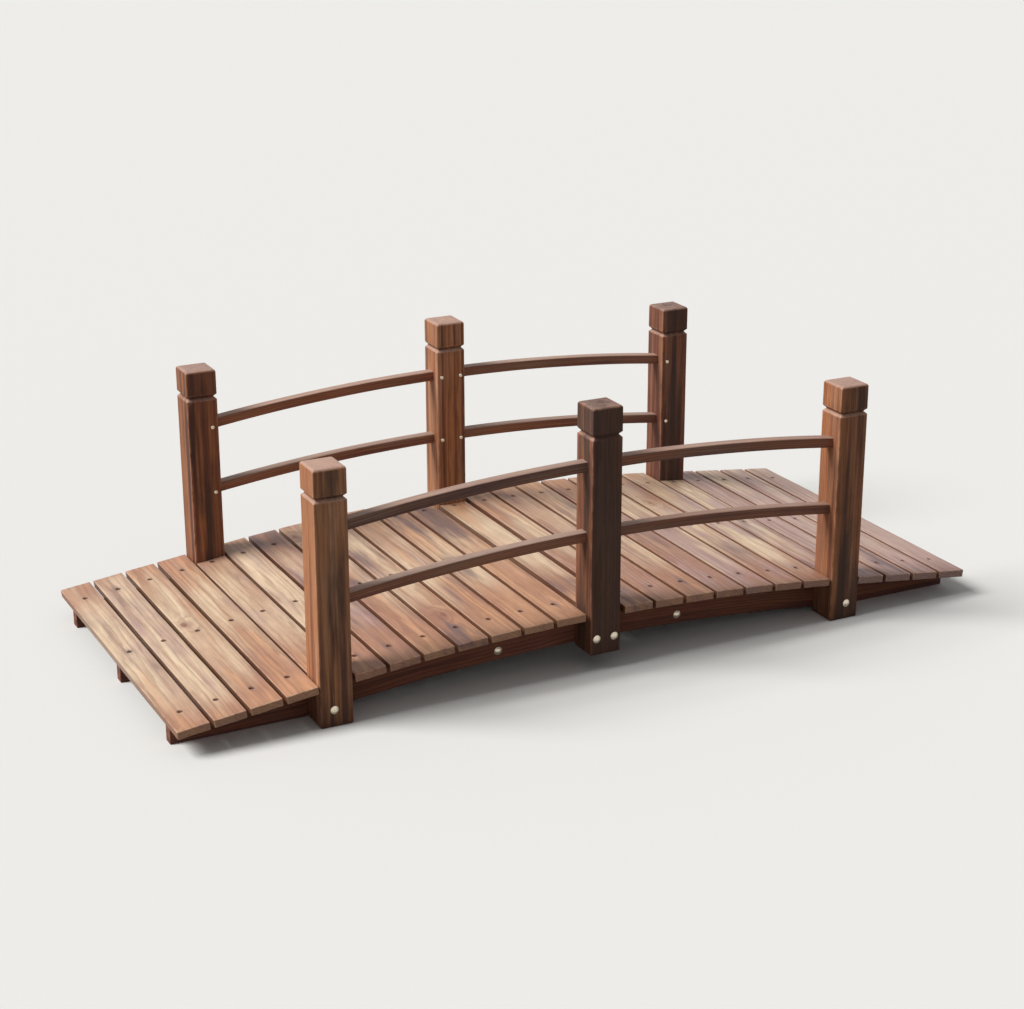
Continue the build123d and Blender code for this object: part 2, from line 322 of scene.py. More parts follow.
def wood(name, look, pith, knots, lines, bands, edges, weather=0.0):
    """Stained softwood with growth rings, knots, fibres, scorched patches, and pale arrises that are
    partly wear and partly a painted highlight.

    The attribute grain holds the place in the piece: across it, along it and through it. A ring's
    number is the distance from the pith line, pushed about by slow noise and by the knots, over the
    ring spacing; the dark late wood is the last part of each ring. Knots are the points of a cell
    pattern, of which only some are kept, measured in true metres. The attribute tone holds how pale,
    how scorched and how warm the wood is at a point, and on the posts its scorch part also holds
    painted shade on the near faces. Rim is the distance to the nearest arris, and the last attribute
    is 1 where painted shade darkens a gap between boards, a screw hole or a post's groove, and where
    a post darkens towards its foot.

    The shares say how many knots are kept, how dark the grain's lines, the wide streaks and the
    arrises are, and how far the weather has paled what faces up.
    """
    material = bpy.data.materials.new(name)
    tree = Tree(material)
    grain = tree.attribute("grain", "Vector")
    # On the posts the scorch part also carries painted shade on the near faces.
    pale, smoky, warm = tree.parts(tree.attribute("tone", "Vector"))
    rim = tree.attribute("rim")
    stain = tree.attribute("stain")
    across, _, through = tree.parts(grain)

    cell = (13.0, 2.7, 0.5)
    knot_grid = tree.stretch(grain, cell)
    point, lot = tree.add("ShaderNodeTexVoronoi", None, {"Vector": knot_grid, "Scale": 1.0},
                          output=("Position", "Color"))
    lot_a, lot_b, _ = tree.parts(lot)
    away = tree.add("ShaderNodeVectorMath", {"operation": "SUBTRACT"}, (knot_grid, point))
    away = tree.stretch(away, (1.0 / cell[0], 0.55 / cell[1], 0.0))
    reach = tree.add("ShaderNodeVectorMath", {"operation": "LENGTH"}, (away,), output="Value")
    kept = tree.step(lot_a, 1.0 - knots, 1.01 - knots)
    size = 0.0020 + 0.0038 * lot_b
    knot = kept * tree.step(size / (reach + 0.0001), 0.80, 1.30)
    swirl = kept * tree.step(reach, 0.030, 0.002)

    wobble = tree.noise(grain, 7.0, 1.3, detail=1.0)
    shiver = tree.noise(grain, 60.0, 7.0, detail=2.0)
    side = across - pith[0] + 0.014 * wobble
    depth = through - pith[1] + 0.020 * wobble
    phase = ((side * side + depth * depth).root() / look.ring + 1.6 * swirl + 1.8 * shiver).fraction()
    late = tree.step(phase, 0.25, 0.86) * tree.step(phase, 1.0, 0.88)

    fibre = tree.noise(grain, 560.0, 10.0, detail=3.0, roughness=0.66)
    streak = tree.noise(grain, 150.0, 2.6, (3.1, 0.0, 1.7), detail=4.0, roughness=0.66)
    band = tree.noise(grain, 70.0, 1.7, (7.7, 2.0, 4.1), detail=2.0)
    patch = tree.noise(grain, 18.0, 4.2, (9.0, 5.0, 2.0), detail=2.0)
    glow = tree.noise(grain, 34.0, 3.6, (1.0, 15.0, 6.0), detail=2.0)
    blush = tree.noise(grain, 28.0, 6.5, (5.0, 11.0, 3.0), detail=2.0)
    cloud = tree.noise(grain, 34.0, 5.0, (4.0, 25.0, 8.0), detail=3.0, roughness=0.6)
    mottle = tree.noise(grain, 120.0, 36.0, (2.0, 8.0, 6.0), detail=4.0, roughness=0.66)
    scorch = tree.step(cloud + 0.55 * smoky + 0.25 * streak + 0.60 * band, 1.08, 1.45)

    body = tree.step(patch + 0.7 * pale + 0.3 * streak, 0.55, 1.20)
    char = tree.step(rim, 0.013, 0.0030) * tree.step(cloud + 0.3 * mottle, 0.45, 0.75)
    # Pale arrises: partly wear and partly a painted highlight.
    wear_and_highlight = tree.step(rim, 0.0024, 0.0006) * tree.step(mottle + 0.3 * patch, 0.52, 0.76)
    layers = [
        (tree.step(glow + 0.4 * warm, 0.54, 0.84) * 0.75, look.amber),
        (tree.step(blush - 0.4 * warm, 0.46, 0.80) * 0.75, look.ash),
        (late * tree.step(glow + 0.5 * streak, 0.45, 0.85) * (1.6 * lines), look.line),
        (tree.step(band, 0.49, 0.64) * bands, look.wine),
        (tree.step(streak, 0.55, 0.78) * (1.2 * lines), look.line),
        (scorch * 0.80, look.smoke),
        (knot * 0.85, look.line),
        (kept * tree.step(reach, 0.018, 0.004) * 0.40, look.wine),
        (char * edges, look.wine),
        (wear_and_highlight * (0.45 - 0.45 * smoky), look.pale),
    ]
    if weather:
        upward = tree.parts(tree.add("ShaderNodeNewGeometry", output="Normal"))[2]
        faded = 0.22 + 0.5 * patch + 0.8 * streak + 0.25 * pale - 0.8 * smoky
        layers.append((tree.step(upward, 0.2, 0.75) * faded * weather, look.bleach))
    # Painted shade in the gaps, screw holes and grooves, and the darker feet of the posts.
    layers.append((stain * (0.65 + 0.5 * mottle), look.stain))
    tint = tree.blend(body, look.deep, look.pale)
    for factor, over in layers:
        tint = tree.blend(factor, tint, over)
    tone = (0.60 + 0.80 * fibre) * (0.80 + 0.40 * mottle)
    grey = tree.add("ShaderNodeCombineColor", None, (tone, tone, tone))
    tint = tree.blend(1.0, tint, grey, "MULTIPLY")

    rough = look.rough + 0.20 * (fibre - 0.5) + 0.10 * late + 0.08 * scorch
    relief = 0.55 * fibre + 0.40 * late + 0.25 * mottle - 0.6 * knot
    tree.surface({"Base Color": tint, "Roughness": rough, "Specular IOR Level": look.gloss,
                  "Normal": tree.bump(relief, 0.75, 0.00035)})
    return material


def plated_metal(name, tint, metallic, rough):
    """Metal with a thin, slightly blotched finish and fine scratches."""
    material = bpy.data.materials.new(name)
    tree = Tree(material)
    place = tree.add("ShaderNodeTexCoord", output="Object")
    blotch = tree.noise(place, 260.0, 260.0, detail=3.0)
    scratch = tree.noise(place, 1400.0, 1400.0, detail=2.0)
    dark = tuple(0.45 * c for c in tint)
    body = tree.blend(tree.step(blotch, 0.50, 0.78) * 0.7, tuple(tint), dark)
    tree.surface({"Base Color": body, "Metallic": metallic,
                  "Roughness": rough + 0.25 * (blotch - 0.4),
                  "Normal": tree.bump(scratch, 0.4, 0.0001)})
    return material


def vectors(*parts):
    """Points or directions from their parts."""
    return np.stack(np.broadcast_arrays(*parts), axis=-1)


def with_poles(values):
    """The values of each copy's rings, followed by the means of its first and its last ring."""
    ends = np.stack([values[:, 0].mean(axis=1), values[:, -1].mean(axis=1)], axis=1)
    return np.concatenate([values.reshape(len(values), -1, values.shape[-1]), ends], axis=1)


def grid_mesh(name, points, attributes, copies=1):
    """A mesh from rings of points that close on themselves, with a pole at each end.

    points has the shape (copies, rings, around, 3). The first and the last ring are closed by a
    fan about their mean point. Each attribute has a value or a vector per ring point. The faces
    are turned round where the shell's volume, a sixth of the sum of a . (b x c) over its
    triangles, comes out negative.
    """
    points = np.asarray(points, dtype=float).reshape(copies, -1, points.shape[-2], 3)
    rings, around = points.shape[1:3]
    per_copy = rings * around + 2
    everything = with_poles(points)

    i, j = np.meshgrid(np.arange(rings - 1), np.arange(around), indexing="ij")
    k = (j + 1) % around
    below, above = i * around, (i + 1) * around
    quads = vectors(below + j, below + k, above + k, above + j).reshape(-1, 4)
    first = np.arange(around)
    last = first + (rings - 1) * around
    tris = np.concatenate([vectors(per_copy - 2, np.roll(first, -1), first),
                           vectors(per_copy - 1, last, np.roll(last, -1))])
    halves = np.concatenate([quads[:, :3], quads[:, [0, 2, 3]], tris])
    a, b, c = np.moveaxis((everything[0] - everything[0].mean(axis=0))[halves], 1, 0)
    if np.sum(a * np.cross(b, c)) < 0:
        quads, tris = quads[:, ::-1], tris[:, ::-1]

    shift = (np.arange(copies) * per_copy)[:, None, None]
    faces = [*(quads + shift).reshape(-1, 4).tolist(), *(tris + shift).reshape(-1, 3).tolist()]
    mesh = bpy.data.meshes.new(name)
    mesh.from_pydata(everything.reshape(-1, 3), [], faces, shade_flat=False)
    for key, values in attributes.items():
        values = with_poles(np.asarray(values, dtype=float).reshape(copies, rings, around, -1))
        kind, field = ("FLOAT_VECTOR", "vector") if values.shape[-1] == 3 else ("FLOAT", "value")
        mesh.attributes.new(key, kind, "POINT").data.foreach_set(field, values.ravel())
    obj = bpy.data.objects.new(name, mesh)
    bpy.context.scene.collection.objects.link(obj)
    return obj


def eased_lines(reach, spacing, extra=()):
    """Places across a face: even ones, some extra ones, and one close to each rounding."""
    near = reach - min(0.0012, 0.3 * reach)
    even = np.linspace(-near, near, max(2, int(round(2 * near / spacing)) + 1))
    lines = np.round(np.concatenate([[-reach, reach], even, extra]), 6)
    return np.clip(np.unique(lines), -reach, reach)


def section(half_wide, half_high, radius, wide_spacing, high_spacing, extra=()):
    """Round a rectangle with rounded corners, clockwise as seen along the piece.

    Gives for each point its place on the inner rectangle, whose corners are the centres of the
    roundings, and its outward direction. The extra places are lines across the wide faces.
    """
    a, b = half_wide - radius, half_high - radius
    wide, high = eased_lines(a, wide_spacing, extra), eased_lines(b, high_spacing)
    angles = np.radians([67.5, 45.0, 22.5])
    bend = vectors(np.cos(angles), np.sin(angles))
    inner, outward = [], []
    for across, through, way, corner, arc in (
            (wide, b, (0, 1), (a, b), bend),
            (a, high[::-1], (1, 0), (a, -b), bend[:, ::-1] * (1, -1)),
            (wide[::-1], -b, (0, -1), (-a, -b), -bend),
            (-a, high, (-1, 0), (-a, b), bend[:, ::-1] * (-1, 1))):
        side = vectors(across, through)
        inner += [side, np.tile(corner, (len(arc), 1))]
        outward += [np.tile(way, (len(side), 1)), arc]
    return np.concatenate(inner), np.concatenate(outward)


def ripple(seed, u, v, waves=6):
    """Smooth unevenness between about -1 and 1: a sum of sine waves with random directions."""
    rng = np.random.default_rng(seed)
    total = np.zeros(np.broadcast(u, v).shape)
    for _ in range(waves):
        lean, rise = rng.uniform(-1, 1), rng.uniform(-1, 1)
        total = total + np.sin(lean * u + rise * v + rng.uniform(0, 2 * math.pi))
    return total / math.sqrt(waves * 2)


def dents(depth, below, seed, u, v):
    """Shallow hollows of a planed surface: a ripple that starts below it and never rises past it."""
    return np.minimum(depth * ripple(seed, u, v) - below, 0.0)[..., None]


def bell(value, centre, width):
    """A bell curve: 1 at its centre, about a third at its width and soon nothing."""
    return np.exp(-((value - centre) / width) ** 2)


def bar(lines, half_length, inner, outward, radius):
    """A bar with rounded edges and ends: places (across, along, through) and outward directions.

    The section's inner rectangle is carried along the lines. At both ends a quarter circle closes
    the roundings, short of its last few degrees, and then the section shrinks to the middle of
    the end face.
    """
    angles, shrink = np.radians([30.0, 60.0, 84.0]), np.array([0.97, 0.6, 0.25])
    flat = half_length - radius
    body = np.unique(np.round([-flat, flat, *np.clip(lines, -flat, flat)], 6))

    def both_ends(rounding, face, middle, sign=1.0):
        """Values of the rings: a rounding and an end face, before and after the middle ones."""
        end = np.concatenate([rounding, face])
        return np.concatenate([sign * end[::-1], middle, end])[:, None]

    flush = np.ones(shrink.size)
    spot = both_ends(flat + radius * np.sin(angles), half_length * flush, body, -1.0)
    way = both_ends(np.sin(angles), flush, np.zeros(body.size), -1.0)
    swell = both_ends(np.cos(angles), math.cos(angles[-1]) * shrink, np.ones(body.size))[..., None]
    keep = both_ends(np.ones(angles.size), shrink, np.ones(body.size))[..., None]

    def between(pair, along):
        """Vectors whose middle part is along and whose others are the pair."""
        return vectors(pair[..., 0], along, pair[..., 1])

    return between(inner * keep + radius * outward * swell, spot), between(outward * swell, way)


def rim_distance(local, *half):
    """Distance to the nearest arris of a bar: the second smallest distance to its faces."""
    return np.sort(np.array(half) - np.abs(local), axis=-1)[..., 1]


def wood_attributes(local, seed, tone, rim, stain=None):
    """The attributes that the wood material reads, with the grain moved for each piece."""
    rng = np.random.default_rng(seed)
    shift = np.array([rng.uniform(-0.035, 0.035), rng.uniform(2, 90), rng.uniform(-0.018, 0.012)])
    return {"grain": local + shift, "tone": np.broadcast_to(np.array(tone), local.shape),
            "rim": rim, "stain": np.zeros(rim.shape) if stain is None else stain}


def dress(obj, material, slot, *nodes):
    """Gives a new piece its material, hangs it under the root and hides the nodes of the frame that
    it stands for.
    """
    obj.data.materials.append(material)
    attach(obj, "root")
    if nodes:
        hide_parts(*nodes)


def corners(node):
    """The low and the high corner of a node's box."""
    return np.array(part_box(node))


def deck_shape():
    """Radius and end slope of the deck's arc and the boards' thickness, read from two boxes.

    The boards' middles lie on a circle through those of board 13, at the crown, and of board 5,
    where the straight end begins. With the run and the drop between them its radius is
    (run * run + drop * drop) / (2 * drop).
    """
    low, high = corners("deck_board_13")
    mid = corners("deck_board_05").mean(axis=0)
    half = 0.5 * (high[2] - low[2])
    run, drop = abs(mid[0]), high[2] - half - mid[2]
    radius = (run * run + drop * drop) / (2 * drop) + half
    return radius, math.asin(run / (radius - half)), high[2] - low[2]


ARC_RADIUS, END_SLOPE, BOARD_THICKNESS = deck_shape()


def board_place(node):
    """Middle, slope, width and length of a board, worked out from its box."""
    low, high = corners(node)
    middle = 0.5 * (low + high)
    slope = math.asin(min(abs(middle[0]) / (ARC_RADIUS - BOARD_THICKNESS / 2), math.sin(END_SLOPE)))
    tilted = (BOARD_THICKNESS - EDGE_CHAMFER) * math.sin(slope)
    width = (high[0] - low[0] - tilted) / math.cos(slope)
    return middle, math.copysign(slope, middle[0]), width, high[1] - low[1]


def board_tone(index, along):
    """How pale, scorched and warm a board is at a share along its length, from -1 to 1.

    The amounts are drawn by the board's number. The left end of the bridge is the palest, the
    middle the warmest, and the boards after the middle are deeper again. A board's ends are
    deeper and redder than its middle by a power of the share, the near end more so, and two
    scorched patches fade out as bell curves.
    """
    rng = np.random.default_rng(400 + index)
    right = index / (len(BOARDS) - 1)
    near, far = np.maximum(-along, 0.0) ** 2, np.maximum(along, 0.0)
    middle, after = bell(right, 0.42, 0.24), bell(right, 0.66, 0.14)
    pale = 0.50 + 0.34 * bell(right, 0.0, 0.12) - 0.18 * after + 0.32 * right ** 4
    pale = pale + rng.uniform(-0.20, 0.20) - (1.0 + 0.5 * middle) * near
    pale = pale - (0.60 - 0.35 * middle) * (1 - right ** 4) * far ** 2
    warm = -0.20 - 0.65 * right + 0.82 * middle + rng.uniform(-0.33, 0.33)
    warm = warm + (0.75 - 0.60 * right) * near ** 1.5 + 0.35 * far ** 3 + 0.80 * far * after
    smoky = rng.uniform(-0.20, 0.08) + 0.14 * middle + 0.06 * right
    for _ in range(2):
        spot, reach, depth = rng.uniform(-1.0, 1.0), rng.uniform(0.10, 0.35), rng.uniform(0.0, 0.70)
        depth = depth * (0.40 + 0.60 * min(1.0, 4.0 * right)) * (1.0 - 0.70 * right * (spot > 0))
        smoky = smoky + depth * bell(along, spot, reach)
    return vectors(pale, smoky, warm)


def screw_spots(index, look):
    """Where a board's three screws are: how far across it, and their three places along it."""
    rng = np.random.default_rng(900 + index)
    lines = look.screw_line * np.array([-1.0, 0.0, 1.0])
    shifts = np.array([(rng.uniform(-0.0015, 0.0015), rng.uniform(-0.001, 0.001)) for _ in lines])
    return shifts[:, 0].mean(), lines + shifts[:, 1]


def deck_board(index, node, look, material):
    """One board, with a sunk hole for each of its screws.

    Near a screw the square grid on the top face is turned into circles: a point whose larger
    distance to the screw is m moves to the true distance m, and this fades out past the hole. The
    hole's depth grows along a cone from its rim to a flat bottom.
    """
    middle, slope, width, long = board_place(node)
    half_w, half_l, half_t = width / 2, long / 2, BOARD_THICKNESS / 2
    sink, (across, spots) = look.sink_radius, screw_spots(index, look)
    reach, fading, wall = 1.45, 0.33, 0.26  # in sink radii
    steps = sink * np.array([0.25, 0.5, 0.72, 0.86, 1.0, 1.12, reach])
    steps = np.concatenate([-steps[::-1], [0.0], steps])
    inner, outward = section(half_w, half_t, look.radius, 0.011, 0.006, across + steps)
    even = np.linspace(-half_l, half_l, 40)
    clear = np.abs(even[:, None] - spots).min(axis=1) > sink * 1.6
    lines = np.concatenate([even[clear], (spots[:, None] + steps).ravel()])
    local, normal = bar(lines, half_l, inner, outward, look.radius)

    top = (outward[:, 1] > 0.999) & (np.abs(local[..., 1]) < half_l - look.radius + 1e-6)
    hollow, halo = np.zeros((2,) + top.shape)
    for spot in spots:
        away = local[..., :2] - (across, spot)
        square, true = np.abs(away).max(axis=-1), np.hypot(away[..., 0], away[..., 1]) + 1e-9
        fade = np.clip((reach - square / sink) / fading, 0.0, 1.0)
        gain = np.where(top, 1.0 + fade * (square / true - 1.0), 1.0)
        local[..., :2] += away * (gain - 1.0)[..., None]
        away = local[..., :2] - (across, spot)
        cone = np.clip((sink - np.hypot(away[..., 0], away[..., 1])) / (wall * sink), 0.0, 1.0)
        hollow = np.maximum(hollow, np.where(top, cone, 0.0))
        halo = np.maximum(halo, bell(np.hypot(away[..., 0] / 0.011, away[..., 1] / 0.016), 0.0, 1.0))
    # Painted shade: the side faces in the gaps between boards and the sunk screw holes are darkened;
    # the outer sides of the two end boards are darkened less.
    gap = np.clip((np.abs(normal[..., 0]) - 0.45) / 0.45, 0.0, 1.0)
    first, last = index == 0, index == len(BOARDS) - 1
    outer = first & (normal[..., 0] < 0) | last & (normal[..., 0] > 0)
    stain = np.maximum(np.clip(1.25 * hollow, 0.0, 1.0), gap * np.where(outer, 0.55, 0.85))
    rim = rim_distance(local, half_w, half_l, half_t)
    tone = board_tone(index, local[..., 1] / half_l)
    tone[..., 1] += 0.40 * halo
    shape = local + normal * dents(0.00022, 0.00015, index, local[..., 0] * 160, local[..., 1] * 38)
    shape[..., 2] -= look.sink_depth * hollow

    x = middle[0] + shape[..., 0] * math.cos(slope) + shape[..., 2] * math.sin(slope)
    z = middle[2] - shape[..., 0] * math.sin(slope) + shape[..., 2] * math.cos(slope)
    obj = grid_mesh(node.replace("deck_board", "board"), vectors(x, middle[1] + shape[..., 1], z),
                    wood_attributes(local, 50 + index, tone, rim, stain))
    dress(obj, material, "deck_wood", node)


def post_rings(look, height):
    """A post's rings: their heights, how far they are drawn in and their share of the section.

    The groove is a V and the edge of the cap a quarter circle. The rings of the end faces shrink
    to the middle.
    """
    groove = height - look.cap_height
    notch = look.groove * np.array([-1.35, -1.0, -0.93, -0.5, -0.1, 0.1, 0.5, 0.93, 1.0, 1.35])
    curve = np.radians(np.linspace(0, 90, 7))
    z = np.concatenate([np.linspace(0.0015, groove - 0.012, 44), groove + notch,
                        np.linspace(groove + 0.011, height - look.cap_radius - 0.001, 5),
                        height - look.cap_radius * (1 - np.sin(curve))])
    inset = np.clip(look.groove - np.abs(z - groove) - 0.0002, 0.0, look.groove - 0.0006)
    up = np.clip((z - (height - look.cap_radius)) / look.cap_radius, 0.0, 1.0)
    inset = inset + look.cap_radius * (1 - np.sqrt(1 - up * up))
    shrink = np.array([0.9, 0.55, 0.25])
    keep = np.concatenate([shrink[::-1], np.ones(z.size + 1), shrink])
    z = np.concatenate([[0.0] * 4, z, [height] * 3])
    inset = np.concatenate([[0.0012] * 4, inset, [look.cap_radius] * 3])
    return z[:, None], inset[:, None], keep[:, None]


def post(node, look, material, tone, near_face_shade, dark_rest, dark_top, seed):
    """One post: a square section with rounded arrises, drawn in at the groove and round the cap.

    The tone says how pale, scorched and warm it is. Three amounts say how much painted shade darkens
    the middle of its near face, and how scorched the middle of its other faces and of the cap's top
    is besides. The cap's sides are a little darker, its near face more so as painted shade, and the
    near face darkens towards its foot as painted shade.
    """
    low, high = corners(node)
    half, height, centre = 0.5 * (high[0] - low[0]), high[2] - low[2], 0.5 * (low + high)
    groove = height - look.cap_height
    z, inset, keep = post_rings(look, height)
    inner, outward = section(half, half, look.radius, 0.0085, 0.0085)
    drawn_in = (1 - inset / (half - look.radius))[..., None]
    flat = (inner * drawn_in + look.radius * outward) * keep[..., None]
    z = np.repeat(z, inner.shape[0], axis=1)
    local = vectors(flat[..., 0], z, flat[..., 1])
    push = dents(0.0003, 0.0002, seed, (flat[..., 0] + 2 * flat[..., 1]) * 90, z * 20)
    flat = flat + outward * push * (keep[..., None] > 0.99)
    points = vectors(centre[0] + flat[..., 0], centre[1] + flat[..., 1], low[2] + z)

    upright = half - look.radius - np.abs(inner).min(axis=1) + 0 * z
    lip = np.abs(np.abs(z - groove) - look.groove)
    rim = np.minimum(np.minimum(upright, lip), height - z)
    rim = np.where(z > height - 1e-6, (1 - keep) * half, rim)
    # The lowest 5 cm are darker, and the groove is darkened as painted shade, most just above its
    # middle.
    foot = 0.5 * np.clip(1 - z / 0.05, 0, 1)
    groove_shade = 0.8 * np.clip(1 - np.abs(z - groove - 0.0012) / 0.0036, 0, 1)
    side = np.clip((height - z) / look.cap_radius, 0, 1)
    # The near face is darkened as painted shade: in its middle, on the cap and more towards its foot.
    near = np.clip(-outward[:, 1], 0, 1) * side
    dark = dark_rest + (near_face_shade - dark_rest) * near + (0.10 + 0.25 * near) * (z > groove)
    ragged = 0.0035 * ripple(seed + 7, (flat[..., 0] - flat[..., 1]) * 160, z * 28)
    inside = np.where(z > height - look.cap_radius, rim, upright) + ragged - 0.002 + 0.003 * near
    inside = np.clip(inside / (0.012 - 0.007 * near), 0, 1)
    inside = np.where(z > groove, np.maximum(inside, 0.8), inside)
    tone = np.array(tone) + np.zeros(local.shape)
    # Scorch, and painted shade on the near face, go into the tone's scorch part.
    tone[..., 1] += (dark * side + dark_top * (1 - side)) * inside + 0.45 * near * (1 - z / height)
    tone[..., 2] -= 0.8 * (1 - side)
    obj = grid_mesh(node.replace("_post", "_newel"), points,
                    wood_attributes(local, seed, tone, rim, np.maximum(foot, groove_shade)))
    dress(obj, material, "post_wood", node)


def bent_bar(name, node, look, material, slot, tone, seed, top, bottom, spacing=0.012):
    """A rail or half beam: a rounded bar along X whose height follows two curves at every x."""
    low, high = corners(node)
    (half_l, half_w), (mid_x, mid_y) = 0.5 * (high - low)[:2], 0.5 * (low + high)[:2]
    half_h = 0.5 * float(top(mid_x) - bottom(mid_x))
    inner, outward = section(half_w, half_h, look.radius, 0.006, 0.008)
    lines = np.linspace(-half_l, half_l, int(round(2 * half_l / spacing)))
    local, normal = bar(lines, half_l, inner, outward, look.radius)
    rim = rim_distance(local, half_w, half_l, half_h)
    shape = local + normal * dents(0.0002, 0.00012, seed, local[..., 0] * 200, local[..., 1] * 30)
    x = mid_x + shape[..., 1]
    upper, lower = top(x), bottom(x)
    z = 0.5 * (upper + lower) + shape[..., 2] * (upper - lower) / (2 * half_h)
    obj = grid_mesh(name, vectors(x, mid_y - shape[..., 0], z),
                    wood_attributes(local, seed, tone, rim))
    dress(obj, material, slot, node)


def rail_curves(node):
    """The arcs of a rail's top and underside, from the two heights and the length of its box."""
    low, high = corners(node)
    near, far = sorted((abs(low[0]), abs(high[0])))
    drop = high[2] - low[2] - RAIL_DEPTH
    radius = (far * far - near * near) / (2 * drop)
    crown = high[2] + near * near / (2 * radius)
    return (lambda x: crown - radius + np.sqrt(radius ** 2 - x * x),
            lambda x: crown - radius + np.sqrt((radius - RAIL_DEPTH) ** 2 - x * x))


def beam_curves():
    """The arcs and straight tails of a beam's top and underside, cut flat along the ground."""
    centre = corners("deck_board_13")[1][2] - ARC_RADIUS

    def curve(radius, x):
        x = np.abs(x)
        bend = radius * math.sin(END_SLOPE)
        arc = centre + np.sqrt(np.maximum(radius ** 2 - np.minimum(x, bend) ** 2, 0.0))
        return arc - np.maximum(x - bend, 0.0) * math.tan(END_SLOPE)

    upper = ARC_RADIUS - BOARD_THICKNESS - SEAT
    return (lambda x: curve(upper, x), lambda x: np.maximum(curve(upper - BEAM_DEPTH, x), 0.0))


def splice_plates(look, material):
    """The three straight plates on the inner faces of the beams, as one piece."""
    low, high = corners("splice_plates")
    beam_y = corners("centre_left_beam").mean(axis=0)[1]
    centres = (low[1] + PLATE_THICKNESS / 2, beam_y + BEAM_THICKNESS / 2 + SEAT + PLATE_THICKNESS / 2,
               high[1] - PLATE_THICKNESS / 2)
    half = np.array([0.5 * PLATE_THICKNESS, 0.5 * (high[0] - low[0]), 0.5 * (high[2] - low[2])])
    inner, outward = section(half[0], half[2], look.radius, 0.006, 0.008)
    local, _ = bar(np.linspace(-half[1], half[1], 30), half[1], inner, outward, look.radius)
    z = 0.5 * (low[2] + high[2]) + local[..., 2]
    points = np.stack([vectors(local[..., 1], y - local[..., 0], z) for y in centres])
    attributes = wood_attributes(local, 340, (0.3, 0.1, 0.3), rim_distance(local, *half))
    attributes = {key: np.stack([value] * 3) for key, value in attributes.items()}
    attributes["grain"][..., 1] += 7.0 * np.arange(3)[:, None, None]
    obj = grid_mesh("beam_splices", points, attributes, copies=3)
    dress(obj, material, "beam_wood", "splice_plates")


def turned(profile, around=32):
    """A turned shape: radius and height pairs carried round the Z axis.

    A third number blends the circle with a hexagon, whose radius at an angle is its flat's
    distance over the cosine of the angle to the middle of the nearest flat.
    """
    profile = np.asarray(profile, dtype=float)
    turn = np.arange(around) * 2 * math.pi / around
    from_flat = (turn + math.pi / 6) % (math.pi / 3) - math.pi / 6
    radius = profile[:, 0:1] * (1 + profile[:, 2:3] * (1 / np.cos(from_flat) - 1))
    return vectors(radius * np.cos(turn), radius * np.sin(turn), profile[:, 1:2])


def facing(x, y, z, side):
    """A place whose Z axis points out of the bridge's side: -1 for near, 1 for far."""
    return Matrix.Translation((x, y, z)) @ Matrix.Rotation(-side * math.pi / 2, 4, "X")


def cross_cut(shape, reach, width, depth, top):
    """Sinks a cross recess into a head: two slots that cross, deepest in the middle."""
    x, y, z = np.moveaxis(shape, -1, 0)
    slot = np.maximum((np.abs(x) < width) * np.clip(1.2 - np.abs(y) / reach, 0, 1),
                      (np.abs(y) < width) * np.clip(1.2 - np.abs(x) / reach, 0, 1))
    return vectors(x, y, np.where(z > top, z - depth * np.minimum(slot, 1.0), z))


def fixings(name, shape, places, material, *nodes):
    """One piece of metal fixings: a copy of the shape at each place, turned as the place is."""
    places = np.array([np.array(place) for place in places])
    points = np.einsum("cij,rkj->crki", places[:, :3, :3], shape) + places[:, None, None, :3, 3]
    obj = grid_mesh(name, points, {}, copies=len(places))
    dress(obj, material, "bolt_metal", *nodes)


def bolt_shape(look, *layers):
    """A bolt: a domed head above z = 0, a shank through the layers, a nut and the threaded end.

    The dome is a cap of a sphere; the thread is a small zigzag of the radius along the end.
    """
    head, rise, nut = look.bolt_radius, look.bolt_rise, look.nut_width / 2
    shank, pitch, back = 0.0030, 0.0005, -sum(layers) - SEAT * (len(layers) - 1) - NUT_PLAY
    sphere = (head ** 2 + rise ** 2) / (2 * rise)
    angles = np.linspace(0.04, math.asin(head * 0.985 / sphere), 9)
    dome = [(sphere * math.sin(a), rise - sphere * (1 - math.cos(a)), 0) for a in angles]
    rim = [(head, 0.0003, 0), (head, 0.0001, 0), (head * 0.98, 0.0, 0),
           (shank, 0.0, 0), (shank, back + 0.0002, 0)]
    collar = [(nut * 0.98, back, 0.6), (nut, back - 0.0004, 1), (nut, back - 0.0044, 1),
              (nut * 0.97, back - 0.0050, 0.3), (shank + 0.0001, back - 0.0050, 0)]
    thread = [(shank - 0.0003 * (i % 2), back - 0.0053 - pitch * i, 0) for i in range(4)]
    return turned(dome + rim + collar + thread + [(0.0012, back - 0.0072, 0)], 36)


class FOOTBRIDGE_OT_boards(bpy.types.Operator):
    """Build the deck boards with sunk screw holes"""
    bl_idname = "footbridge.boards"
    bl_label = "Deck Boards"

    def execute(self, context):
        look = context.scene.footbridge_deck
        material = wood("deck_wood", look, (0.004, -0.040), knots=0.16, lines=0.23, bands=0.30,
                        edges=0.20)
        for index, node in enumerate(BOARDS):
            deck_board(index, node, look, material)
        return {"FINISHED"}


